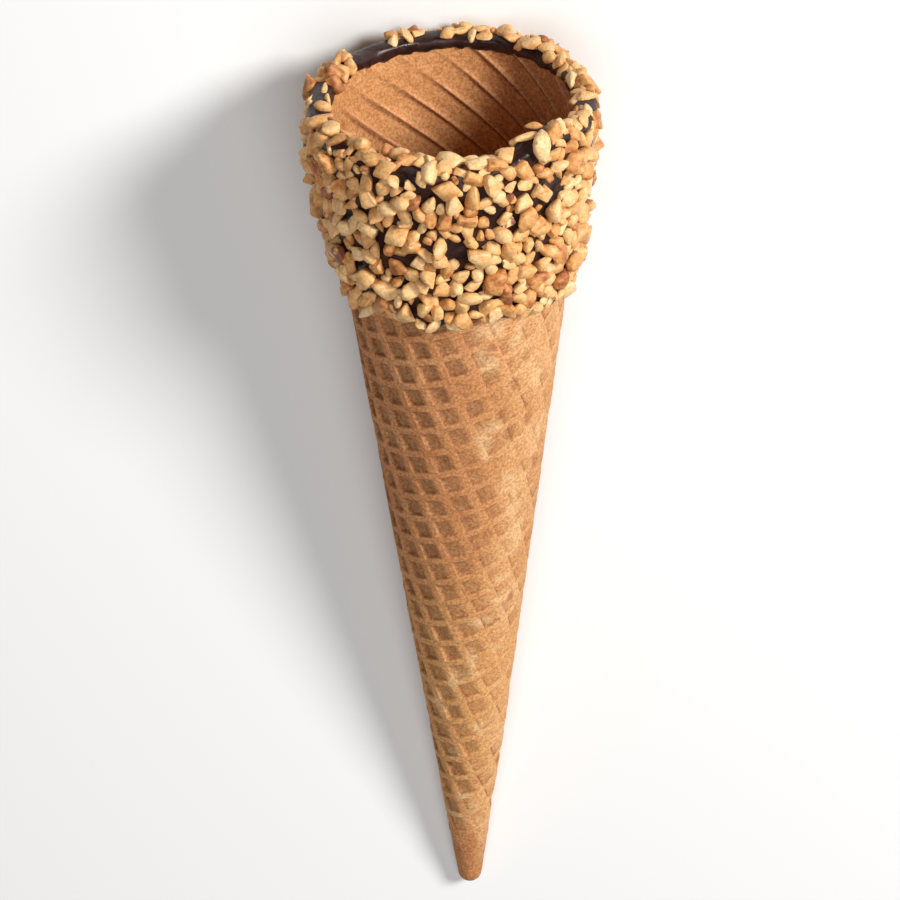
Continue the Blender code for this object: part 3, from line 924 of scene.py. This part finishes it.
def coat_surface(step, turn):
    """A point on the coat's outside and the way out of it, step up from the coat's edge."""
    rim = rim_along(turn)
    up = rim - COAT_FROM
    if step < up:
        along = COAT_FROM + step
        radius = wafer_radius(along) + GAP + COAT
        lean = -HALF_ANGLE
    else:
        lean = math.radians(100.0) * (step - up) / RIM_BEND
        half = WALL / 2 + GAP + 0.7 * COAT
        along = rim + 0.75 * half * math.sin(lean)
        radius = wafer_radius(rim) - WALL / 2 + half * math.cos(lean)
    at = place(along, turn, radius)
    out = place(along + math.sin(lean), turn, radius + math.cos(lean)) - at
    return at, out.normalized()


def choose_nuts():
    draw = random.Random(NUT_SEED)
    chosen = []
    for step, degrees, length, width in RESTING_NUTS + STANDOUT_NUTS:
        chosen.append((*coat_surface(step, math.radians(degrees)), length, width))
    highest = RIM_AT - COAT_FROM + 0.8 * RIM_BEND
    while len(chosen) < NUT_COUNT:
        share = len(chosen) / NUT_COUNT
        length = NUT_LONGEST + (NUT_SHORTEST - NUT_LONGEST) * share ** 0.35
        step = draw.uniform(-0.0004, highest)
        at, out = coat_surface(step, draw.uniform(0.0, FULL_TURN))
        clear = all((there - at).length > NUT_SPACING * (length + other) / 2
                    for there, _, other, _ in chosen)
        if clear:
            chosen.append((at, out, length, length * draw.uniform(0.68, 0.92)))
    return chosen


nuts = choose_nuts()
print(len(nuts), "large nuts")

# %% [markdown]
# Some nuts of the shown side are worth placing one by one: a big oval one with a long sliver
# above it at the raised corner, an orange one and two pale ones on the front of the rim, a
# few single ones below, and the row that hangs over the far rim. Each is given by how far
# it leans over the rim (or, if it sits below, its height in millimetres as a negative lean),
# its turn, length, width, the direction of its length, and its roast. Roast 0 is cream,
# 1 dark; above 1 it has its skin on. A second list marks where bare chocolate shows.

# %% Nuts placed one by one
MARKED_NUTS = (
    (5.0, 34.5, 5.0, 3.7, -90.0, 0.12), (86.0, 33.0, 6.0, 2.1, 4.0, 0.22),
    (58.0, -34.0, 3.9, 3.4, 40.0, 0.72), (76.0, 9.6, 3.8, 2.9, 10.0, 0.02),
    (46.0, 17.0, 3.2, 2.3, 170.0, 0.75), (44.0, -9.6, 4.0, 2.7, 75.0, 0.15),
    (60.0, 49.0, 2.6, 1.7, 80.0, 0.1), (46.0, 44.0, 2.4, 1.6, 60.0, 0.0),
    (30.0, 43.0, 3.4, 2.4, 100.0, 0.7),
    (80.0, 22.0, 3.2, 2.3, 60.0, 0.35), (75.0, 15.0, 3.4, 2.8, 120.0, 0.45),
    (-9.5, 16.0, 4.2, 3.0, 75.0, 0.85), (-0.4, -11.3, 3.2, 2.0, 65.0, 0.2),
    (-1.0, -1.3, 2.5, 2.2, 20.0, 0.1),
    (112.0, -153.0, 2.4, 1.9, 60.0, -0.1), (66.0, -155.0, 2.6, 2.0, 0.0, 0.7),
    (102.0, -160.0, 3.2, 2.4, 80.0, 0.3), (82.0, -166.0, 2.0, 1.3, 10.0, 0.4),
    (118.0, -179.0, 3.1, 2.4, 80.0, 0.4), (98.0, 176.0, 2.8, 2.0, 20.0, 0.3),
    (60.0, 172.0, 3.2, 2.2, 0.0, 0.4), (118.0, 170.0, 3.4, 1.7, 85.0, 0.15),
    (72.0, 166.0, 3.4, 2.2, 60.0, 0.35), (108.0, 164.0, 3.0, 2.4, 0.0, 0.3),
    (72.0, 156.0, 3.2, 2.4, 10.0, 0.3), (106.0, 151.0, 3.2, 2.5, 0.0, 0.45),
    (112.0, 145.0, 3.2, 1.8, 80.0, 0.5), (60.0, 139.0, 3.4, 2.6, 0.0, 1.6),
    (114.0, 139.0, 3.2, 2.8, 40.0, 0.3), (96.0, 131.0, 3.2, 2.6, 0.0, 0.3),
    (108.0, -101.0, 3.2, 1.2, 0.0, 0.1), (104.0, -84.0, 3.0, 2.2, 50.0, 0.25),
)
BARE_PLACES = (
    (80.0, -100.0, 3.0), (85.0, -146.0, 2.6), (85.0, -173.0, 2.2), (60.0, 27.0, 2.5),
    (85.0, 45.0, 2.4), (15.0, -17.5, 1.7), (-15.0, 2.0, 2.1), (-25.5, -6.8, 1.4),
    (30.0, 84.0, 1.8), (30.0, -84.0, 1.6), (60.0, -147.0, 2.2), (-16.8, -29.8, 1.9),
    (-10.4, -41.7, 1.9), (-13.0, -20.4, 1.7), (-5.7, -40.1, 1.7), (-19.9, 16.9, 1.3),
    (-21.3, 32.7, 1.3), (-27.0, -11.7, 1.5), (-21.5, -37.2, 1.6), (-28.3, -32.0, 1.6),
    (-13.5, -57.0, 1.6), (-2.2, -73.0, 2.2), (25.0, -150.0, 2.4), (-8.2, -83.0, 1.5),
    (-20.5, -86.0, 1.7), (-27.5, 86.0, 1.5), (75.0, -88.0, 2.4), (100.0, -78.0, 2.0),
    (35.0, -138.0, 1.8),
)


def marked_place(lean, degrees):
    turn = math.radians(degrees)
    if lean < 0.0:
        return coat_surface(-lean * MILLIMETRE, turn)
    return coat_surface(rim_along(turn) - COAT_FROM + RIM_BEND * lean / 100.0, turn)


def make_room(nuts, marked, bare):
    """Leaves out nuts that are in the way of the marked ones or have no chocolate below."""
    kept = []
    for nut in nuts:
        in_way = any((nut[0] - other[0]).length < 0.42 * (nut[2] + other[2]) for other in marked)
        on_bare = any((nut[0] - at).length < wide for at, wide in bare)
        on_bare = on_bare or nut[0].z < coat_edge(math.atan2(nut[0].x, -nut[0].y))
        if nut in nuts[:2] or not (in_way or on_bare):
            kept.append(nut)
    return kept


marked = [(*marked_place(lean, degrees), length * MILLIMETRE, width * MILLIMETRE,
           math.radians(along), roast_and_shade)
          for lean, degrees, length, width, along, roast_and_shade in MARKED_NUTS]
bare = [(marked_place(lean, degrees)[0], wide * MILLIMETRE) for lean, degrees, wide in BARE_PLACES]
large = make_room(nuts, marked, bare)
print(len(marked), "nuts placed by hand,", len(large), "of the large ones stay")

# %% [markdown]
# Then come smaller bits that fill the gaps, as the crumbs do in the bowl. On the sides and
# the front they go over the rim to its inner edge. On the far side the rim is nearly bare,
# so there they stop below the top.

# %% Where the small bits go
CRUMB_COUNT = 780
CRUMB_LONGEST = 0.0034
CRUMB_SHORTEST = 0.0018
CRUMB_SPACING = 0.64
RIM_SPACING = 0.56
OVER_RIM = 150.0
FAR_SIDE = math.radians(128.0)
FAR_OVER_RIM = 42.0


def lean_limit(turn):
    """How far over the rim the small bits go, in degrees."""
    return FAR_OVER_RIM if abs(turn) > FAR_SIDE else OVER_RIM


def choose_crumbs(taken, bare):
    draw = random.Random(NUT_SEED + 2)
    crumbs = []
    highest = RIM_AT + RIM_SLANT - COAT_FROM + RIM_BEND * OVER_RIM / 100.0
    for tried in range(26000):
        if len(crumbs) == CRUMB_COUNT:
            break
        share = len(crumbs) / CRUMB_COUNT
        length = CRUMB_LONGEST + (CRUMB_SHORTEST - CRUMB_LONGEST) * share ** 0.7
        turn = draw.uniform(-math.pi, math.pi)
        step = draw.uniform(0.0, highest)
        width = length * draw.uniform(0.60, 0.95)
        lowest = float(coat_edge(turn)) - COAT_FROM + 0.30 * length
        limit = rim_along(turn) - COAT_FROM + RIM_BEND * lean_limit(turn) / 100.0
        at, out = coat_surface(step, turn)
        spacing = RIM_SPACING if step > rim_along(turn) - COAT_FROM - 0.003 else CRUMB_SPACING
        clear = lowest < step < limit and all(
            (there[0] - at).length > spacing * (length + there[2]) / 2
            for there in taken + crumbs)
        if clear and all((there - at).length > wide for there, wide in bare):
            crumbs.append((at, out, length, width))
    return crumbs


crumbs = choose_crumbs(large + marked, bare)
print(len(crumbs), "small bits between them")

# %% [markdown]
# Each place gets a copy of one of the bits, with its own mesh: stretched to its length,
# width and height, turned on the spot, tipped a little and pushed into the chocolate, most
# deeply on the right. Near the coat's lower edge the chocolate is thin, and they lie
# flatter. Each also gets its own shade of roast, and those on the left are darkened a little
# more as painted shade. Both are stored on its points for the material to read.

# %% Sprinkle the nuts


def on_corner(at):
    return Vector(lift_corner(np.array([at]))[0])


def side_share(turn, start, end):
    """1 between two turns, and soft at both ends."""
    return float(smooth((turn - start) / 0.4) * smooth((end - turn) / 0.4))


def sprinkle(spots, draw):
    made = []
    for number, (at, out, length, width, *marks) in enumerate(spots):
        kind = draw.randrange(BIT_KINDS)
        if marks and length > 0.0050:
            kind = BIT_KINDS if width > 0.0030 else 2 * (kind // 2)
        bit = bits[kind]
        copy = bpy.data.objects.new("nut", bit.data.copy())
        bpy.context.scene.collection.objects.link(copy)
        level = out.cross(Vector((0.0, 0.0, 1.0))).normalized()
        turned = draw.uniform(0.0, FULL_TURN)
        tip = draw.uniform(-0.6, 0.6)
        roast_and_shade = draw.betavariate(2.0, 2.4)
        skin = 1.0 if draw.random() < 0.025 else 0.0
        if marks:
            turned, roast_and_shade = marks[0], min(marks[1], 1.0)
            skin, tip = float(marks[1] > 1.0), 0.5 * tip
        side = Matrix.Rotation(turned, 3, out) @ level
        tipped = Matrix.Rotation(tip, 3, side) @ out
        height = width * draw.uniform(0.76, 1.04)
        thin = float(smooth((at.z - COAT_FROM + 0.0015) / 0.0060))
        over = float(smooth((at.z - RIM_AT + 0.0030) / 0.0030))
        if number > 1:
            length, width = length * 0.95, width * 0.95
            height *= (0.60 + 0.40 * thin) * (1.0 - 0.14 * over)
        shape = Matrix((side, tipped.cross(side), tipped)).transposed()
        sizes = Matrix.Diagonal((length * 1.04, width * 1.04, height))
        flipped = Matrix.Rotation(draw.choice((0.0, math.pi)), 3, "X")
        turn = math.atan2(at.x, -at.y)
        right, left = side_share(turn, 0.9, 2.3), side_share(-turn, 1.0, 2.3)
        sunk = NUT_SUNK + 0.0003 * over + 0.0007 * right + 0.0002 * left
        centre = on_corner(at) + out * (height / 2 - (NUT_SUNK if number < 2 else sunk))
        # Painted shade: nuts on the left side, away from the light, are darkened.
        roast_and_shade = min(1.0, roast_and_shade + 0.18 * left)
        copy.matrix_world = Matrix.Translation(centre) @ (shape @ sizes @ flipped).to_4x4()
        count = len(copy.data.vertices)
        keep_values(copy, "roast_and_shade", [roast_and_shade] * count)
        keep_values(copy, "skin", [skin] * count)
        made.append(copy)
    return made


scattering = random.Random(NUT_SEED + 5)
copies = sprinkle(large + marked + crumbs, scattering)
join_pieces(copies[0], copies[1:])
chopped_nuts = bpy.context.object
chopped_nuts.name = "chopped_nuts"
chopped_nuts.data.name = "chopped_nuts"
work_on(chopped_nuts)
bpy.ops.object.transform_apply(location=True, rotation=True, scale=True)
for bit in bits:
    bpy.data.objects.remove(bit)
print("chopped nuts:", len(chopped_nuts.data.polygons), "faces")

# %% [markdown]
# ## Finishes
# All three finishes are made of nodes, so they have no picture to run out of sharpness. A
# short helper adds a node and joins its inputs, to keep each recipe readable.

# %% Helpers for finishes


class Finish:
    """A material, its shader, and a short way to add nodes to it."""

    def __init__(self, name):
        self.material = bpy.data.materials.new(name)
        self.material.use_nodes = True
        self.tree = self.material.node_tree
        self.shader = self.tree.nodes["Principled BSDF"]

    def add(self, kind, **settings):
        node = self.tree.nodes.new(kind)
        for name, value in settings.items():
            setattr(node, name, value)
        return node

    def put(self, socket, value):
        """Joins a socket to the one given, or sets it to a number or a colour."""
        if isinstance(value, bpy.types.NodeSocket):
            self.tree.links.new(value, socket)
        else:
            socket.default_value = (*value, 1.0) if isinstance(value, tuple) else value

    def feed(self, node, **inputs):
        """Puts in values by name, with _ for a space."""
        for name, value in inputs.items():
            self.put(node.inputs[name.replace("_", " ")], value)

    def noise(self, size, detail=2.0, roughness=0.5):
        """Soft noise with bumps of about that size in metres."""
        node = self.add("ShaderNodeTexNoise")
        self.feed(node, Vector=self.places(), Scale=1.0 / size, Detail=detail,
                  Roughness=roughness)
        return node.outputs["Fac"]

    def places(self):
        return self.add("ShaderNodeTexCoord").outputs["Object"]

    def kept(self, name):
        return self.add("ShaderNodeAttribute", attribute_name=name).outputs["Fac"]

    def ramp(self, value, stops):
        node = self.add("ShaderNodeValToRGB")
        ramp = node.color_ramp
        while len(ramp.elements) < len(stops):
            ramp.elements.new(0.5)
        for element, (at, color) in zip(ramp.elements, stops):
            element.position = at
            element.color = (*color, 1.0)
        self.feed(node, Fac=value)
        return node.outputs["Color"]

    def spread(self, value, low, high, to_low=0.0, to_high=1.0):
        node = self.add("ShaderNodeMapRange")
        sockets = node.inputs
        for name, number in (("From Min", low), ("From Max", high), ("To Min", to_low),
                             ("To Max", to_high)):
            sockets[name].default_value = number
        self.feed(node, Value=value)
        return node.outputs["Result"]

    def math(self, operation, first, second):
        node = self.add("ShaderNodeMath", operation=operation)
        self.put(node.inputs[0], first)
        self.put(node.inputs[1], second)
        return node.outputs["Value"]

    def mix(self, share, first, second, blend="MIX"):
        node = self.add("ShaderNodeMix", data_type="RGBA", blend_type=blend)
        for index, value in ((0, share), (6, first), (7, second)):
            self.put(node.inputs[index], value)
        return node.outputs[2]

    def bump(self, height, depth, before=None):
        node = self.add("ShaderNodeBump")
        self.feed(node, Height=height, Strength=1.0, Distance=depth)
        if before is not None:
            self.feed(node, Normal=before)
        return node.outputs["Normal"]


print("finishes ready to mix")

# %% [markdown]
# Baked wafer is dry, matt and sandy. The floors of the cells are darkened as painted shade,
# patches that touched the iron lightly stay cream, and everything is speckled with crumbs.

# %% Baked wafer


def baked_wafer():
    f = Finish("baked_wafer")
    clouds = f.spread(f.noise(0.010, 3.0), 0.3, 0.7)
    base = f.ramp(clouds, [(0.0, (0.58, 0.25, 0.098)), (0.5, (0.66, 0.30, 0.122)),
                           (1.0, (0.73, 0.355, 0.150))])
    # Lighter lower half; right side partly paler bake, partly painted light; painted light inside.
    base = f.mix(f.spread(f.kept("paler_and_painted_light"), 0.0, 1.0, 0.0, 0.75), base, (0.81, 0.440, 0.172))
    # Painted shade in the cell floors and their drawn-out left walls.
    painted_floor_shade = f.spread(f.kept("well"), 0.02, 0.62, 0.0, 0.76)
    base = f.mix(painted_floor_shade, base, (0.43, 0.215, 0.096))
    # Painted highlight on the rib crests inside.
    painted_crest_highlight = f.spread(f.kept("well"), -0.25, -1.0, 0.0, 0.80)
    base = f.mix(painted_crest_highlight, base, (0.98, 0.56, 0.29))
    base = f.mix(f.math("MULTIPLY", f.kept("pale"), 0.62), base, (0.93, 0.64, 0.35))
    # Toasted spots and tip, and painted shade on the inside's right.
    base = f.mix(f.math("MULTIPLY", f.kept("toast_and_shade"), 0.75), base, (0.42, 0.165, 0.062))
    # Painted shade at the foot of the cells and the ribs, with some toasting on the outside.
    base = f.mix(f.math("MULTIPLY", f.kept("shade_and_toast_line"), 0.80), base, (0.19, 0.070, 0.028))
    grain = f.noise(0.00048, 4.0, 0.72)
    dark = f.ramp(f.spread(grain, 0.38, 0.60), [(0.0, (0.56, 0.42, 0.32)), (1.0, (1.0, 1.0, 1.0))])
    base = f.mix(0.85, base, dark, "MULTIPLY")
    crumb = f.noise(0.0008, 3.0, 0.70)
    base = f.mix(f.spread(crumb, 0.54, 0.70, 0.0, 0.34), base, (0.90, 0.56, 0.29))
    f.feed(f.shader, Base_Color=base, Roughness=0.80)
    f.shader.inputs["Specular IOR Level"].default_value = 0.2
    fine = f.bump(grain, 0.00015)
    f.feed(f.shader, Normal=f.bump(crumb, 0.00012, fine))
    return f.material


wafer.data.materials.clear()
wafer.data.materials.append(baked_wafer())
print("wafer finish on", wafer.name)

# %% [markdown]
# Dark couverture sets to a satin skin: nearly black brown, a little purple where it shines,
# with soft lumps where the nuts pushed it about.

# %% Dark chocolate


def dark_chocolate():
    f = Finish("dark_chocolate")
    patches = f.spread(f.noise(0.004, 2.0), 0.35, 0.65)
    color = f.ramp(patches, [(0.0, (0.020, 0.0075, 0.0060)), (1.0, (0.046, 0.0180, 0.0145))])
    f.feed(f.shader, Base_Color=color, Roughness=f.spread(f.noise(0.002), 0.3, 0.7, 0.28, 0.46))
    f.shader.inputs["Specular IOR Level"].default_value = 0.32
    f.feed(f.shader, Normal=f.bump(f.noise(0.0014, 2.0), 0.00026))
    return f.material


coat.data.materials.clear()
coat.data.materials.append(dark_chocolate())
print("chocolate finish on", coat.name)

# %% [markdown]
# Roasted nut flesh is cream to golden, darker where it caught the heat, and a few bits keep
# a scrap of red-brown skin. It lets a little light in, which softens its edges.

# %% Roasted nut


def roasted_nut():
    f = Finish("roasted_nut")
    patchy = f.spread(f.noise(0.0017, 3.0, 0.6), 0.25, 0.75, -0.34, 0.34)
    # Roast, with painted shade on the left side, plus patchy roast.
    shade = f.math("ADD", f.kept("roast_and_shade"), patchy)
    color = f.ramp(shade, [(0.0, (0.92, 0.645, 0.335)), (0.36, (0.86, 0.505, 0.205)),
                           (0.70, (0.71, 0.350, 0.112)), (0.88, (0.53, 0.21, 0.060)),
                           (1.0, (0.38, 0.125, 0.038))])
    skin_spots = f.spread(f.noise(0.0016, 2.0), 0.46, 0.54)
    color = f.mix(f.math("MULTIPLY", f.kept("skin"), skin_spots), color, (0.27, 0.090, 0.040))
    grain = f.noise(0.0005, 3.0, 0.6)
    dust = f.ramp(f.spread(grain, 0.35, 0.6), [(0.0, (0.66, 0.55, 0.44)), (1.0, (1.0, 1.0, 1.0))])
    color = f.mix(0.6, color, dust, "MULTIPLY")
    f.feed(f.shader, Base_Color=color, Roughness=0.52)
    f.shader.inputs["Subsurface Weight"].default_value = 0.10
    f.shader.inputs["Subsurface Radius"].default_value = (0.0010, 0.0005, 0.00025)
    f.shader.inputs["Subsurface Scale"].default_value = 1.0
    lumps = f.bump(f.noise(0.0011, 2.0, 0.6), 0.00022)
    f.feed(f.shader, Normal=f.bump(grain, 0.00008, lumps))
    return f.material


chopped_nuts.data.materials.clear()
chopped_nuts.data.materials.append(roasted_nut())
print("nut finish on", chopped_nuts.name)

# %% [markdown]
# ## Lay it down and light it
# The three pieces are laid down together and stand in for the solids. The wafer replaces
# its own solid. The coat and the nuts are one solid there, so both of them replace that one.

# %% Lay the pieces down
for piece in (wafer, coat, chopped_nuts):
    lay_down(piece)
    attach(piece, "root")
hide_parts("waffle_cone")
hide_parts("nut_collar")
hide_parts("nut_collar")
print("laid down", wafer.name, coat.name, chopped_nuts.name)

# %% [markdown]
# A product photograph has a pale floor and soft light. Two round area lamps stand in for the
# photographer's softboxes, and their size sets how soft the shadows between the nuts are.
# The key light, high on the right and on the mouth's side, brightens the right and leaves
# the cells on the left in shade. The larger one straight above and the pale floor fill in.
# A bright sky all round would be easier, but it would wash the cells out.

# %% The floor and the light
FLOOR_SIZE = 6.0


def pale_floor():
    f = Finish("pale_floor")
    color = f.ramp(f.noise(0.2), [(0.0, (0.82, 0.82, 0.82)), (1.0, (0.86, 0.86, 0.86))])
    f.feed(f.shader, Base_Color=color, Roughness=0.9)
    return f.material


def add_softbox(name, at, size, power, color=(1.0, 1.0, 1.0)):
    lamp = bpy.data.lights.new(name, "AREA")
    lamp.shape = "DISK"
    lamp.size = size
    lamp.energy = power
    lamp.color = color
    made = bpy.data.objects.new(name, lamp)
    bpy.context.scene.collection.objects.link(made)
    made.location = at
    aim = Vector((0, -0.02, 0.02)) - Vector(at)
    made.rotation_euler = aim.to_track_quat("-Z", "Y").to_euler()
    return made


bpy.ops.object.select_all(action="DESELECT")
bpy.ops.mesh.primitive_plane_add(size=FLOOR_SIZE)
floor = bpy.context.object
floor.name = "floor"
floor.data.materials.append(pale_floor())

add_softbox("key", (-0.60, -0.40, 0.58), 0.30, 8.9, (1.0, 0.985, 0.96))
add_softbox("top", (0.0, 0.0, 0.9), 0.8, 4.8, (1.0, 1.0, 1.0))
sky = bpy.data.worlds.new("studio")
sky.use_nodes = True
sky.node_tree.nodes["Background"].inputs["Color"].default_value = (1.0, 1.0, 1.0, 1.0)
sky.node_tree.nodes["Background"].inputs["Strength"].default_value = 0.04
bpy.context.scene.world = sky
bpy.context.scene.view_settings.view_transform = "Standard"

# %% [markdown]
# Last, the view layer is updated.

# %% Finish
bpy.context.view_layer.update()
